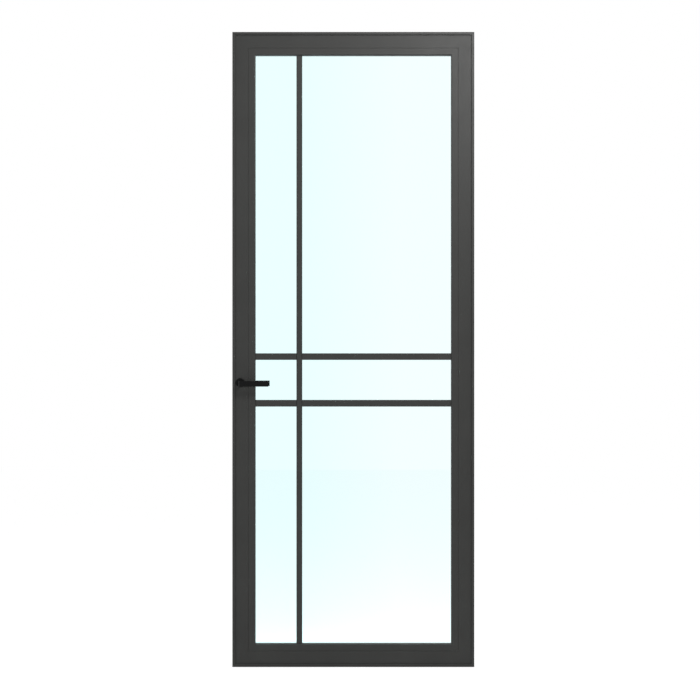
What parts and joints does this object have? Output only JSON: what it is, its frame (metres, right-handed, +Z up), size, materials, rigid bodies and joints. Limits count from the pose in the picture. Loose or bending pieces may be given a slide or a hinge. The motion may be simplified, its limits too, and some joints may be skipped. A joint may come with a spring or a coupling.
{
  "type": "glass door",
  "caption": "Slim framed glass door in its own outer frame: one glazed leaf with applied glazing bars, butt hinges, a sprung latch and bent lever handles on both faces.",
  "frame": {"origin": "middle of the foot of the outer frame, in the middle of the leaf's thickness", "axes": "+X towards the hinge side seen from the front, +Y to the back, where the leaf opens, +Z up"},
  "size_m": [0.882, 0.15, 2.315],
  "materials": {
    "frame_coat": "satin",
    "leaf_coat": "satin",
    "bead_coat": "satin",
    "bar_coat": "satin",
    "cleat_metal": "satin",
    "glass": "polished",
    "seal_rubber": "matte",
    "bar_tape": "matte",
    "setting_block": "matte",
    "fitting_black": "satin",
    "hinge_black": "satin",
    "screw_black": "satin",
    "bright_steel": "satin"
  },
  "bodies": {
    "frame": {"frame_cleat_screws": "bright_steel", "frame_corner_cleats": "cleat_metal", "frame_head": "frame_coat", "frame_hinge_jamb": "frame_coat", "frame_lock_jamb": "frame_coat", "frame_seal": "seal_rubber", "frame_sill": "frame_coat", "hinge_frame_screws": "screw_black", "hinge_lower_frame_leaf": "hinge_black", "hinge_lower_pin": "bright_steel", "hinge_middle_frame_leaf": "hinge_black", "hinge_middle_pin": "bright_steel", "hinge_upper_frame_leaf": "hinge_black", "hinge_upper_pin": "bright_steel", "strike_plate": "bright_steel", "strike_screws": "bright_steel"},
    "leaf": {"bar_tape_back": "bar_tape", "bar_tape_front": "bar_tape", "cross_bar_lower_left_back": "bar_coat", "cross_bar_lower_left_front": "bar_coat", "cross_bar_lower_right_back": "bar_coat", "cross_bar_lower_right_front": "bar_coat", "cross_bar_upper_left_back": "bar_coat", "cross_bar_upper_left_front": "bar_coat", "cross_bar_upper_right_back": "bar_coat", "cross_bar_upper_right_front": "bar_coat", "faceplate_screws": "bright_steel", "glass_pane": "glass", "glazing_bead_bottom": "bead_coat", "glazing_bead_hinge": "bead_coat", "glazing_bead_lock": "bead_coat", "glazing_bead_top": "bead_coat", "glazing_gasket_back": "seal_rubber", "glazing_gasket_front": "seal_rubber", "hinge_door_screws": "screw_black", "hinge_lower_door_leaf": "hinge_black", "hinge_middle_door_leaf": "hinge_black", "hinge_upper_door_leaf": "hinge_black", "latch_case": "bright_steel", "latch_faceplate": "bright_steel", "leaf_bottom_rail": "leaf_coat", "leaf_corner_cleats": "cleat_metal", "leaf_hinge_stile": "leaf_coat", "leaf_lock_stile": "leaf_coat", "leaf_top_rail": "leaf_coat", "rose_base_back": "bright_steel", "rose_base_front": "bright_steel", "rose_bolts": "bright_steel", "rose_cover_back": "fitting_black", "rose_cover_front": "fitting_black", "setting_blocks": "setting_block", "upright_bar_back": "bar_coat", "upright_bar_front": "bar_coat"},
    "handle": {"lever_front": "fitting_black", "lever_back": "fitting_black", "spindle": "bright_steel", "latch_follower": "bright_steel", "lever_grub_screws": "bright_steel"},
    "latch": {"latch_bolt": "bright_steel", "latch_spring": "bright_steel"}
  },
  "joints": [
    {"name": "leaf_swing", "type": "hinge", "parent": "frame", "child": "leaf", "pos_m": [0.435, 0.026, 1.1575], "axis": [0, 0, -1], "range_deg": [0, 170]},
    {"name": "lever_turn", "type": "hinge", "parent": "leaf", "child": "handle", "pos_m": [-0.4125, 0, 1.037], "axis": [0, 1, 0], "range_deg": [0, 40], "stiffness_Nm_per_rad": 1.2, "springref_deg": -34.38},
    {"name": "latch_slide", "type": "slide", "parent": "leaf", "child": "latch", "axis": [1, 0, 0], "range_m": [0, 0.0095], "deforming": ["latch_spring"]}
  ],
  "couplings": [
    {"joint": "latch_slide", "follows": "lever_turn", "m_per_rad": 0.01289}
  ]
}
